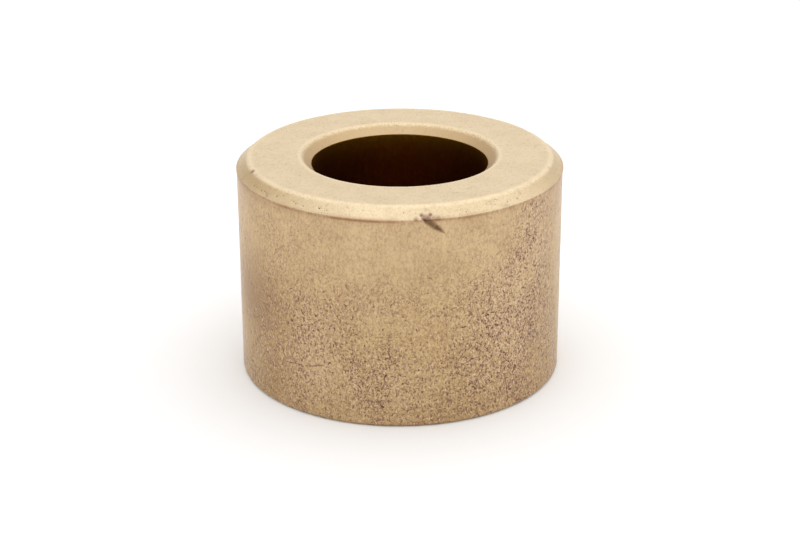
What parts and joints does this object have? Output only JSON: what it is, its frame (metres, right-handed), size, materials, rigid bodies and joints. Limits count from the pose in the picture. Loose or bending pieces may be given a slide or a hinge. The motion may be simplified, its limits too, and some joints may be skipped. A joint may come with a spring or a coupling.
{
  "type": "sleeve bushing",
  "caption": "Thick-walled plain sleeve bushing with a straight bore, a lead-in chamfer round one end and chamfered bore mouths.",
  "frame": {"origin": "centre of the plain end's face, on the bore's axis", "axes": "+Z along the bore, from the plain end to the chamfered lead-in end"},
  "size_m": [0.0278, 0.0278, 0.0191],
  "materials": {
    "sintered_bronze": "satin, porous and oiled"
  },
  "bodies": {
    "root": {"bushing_sleeve": "sintered_bronze"}
  },
  "joints": []
}
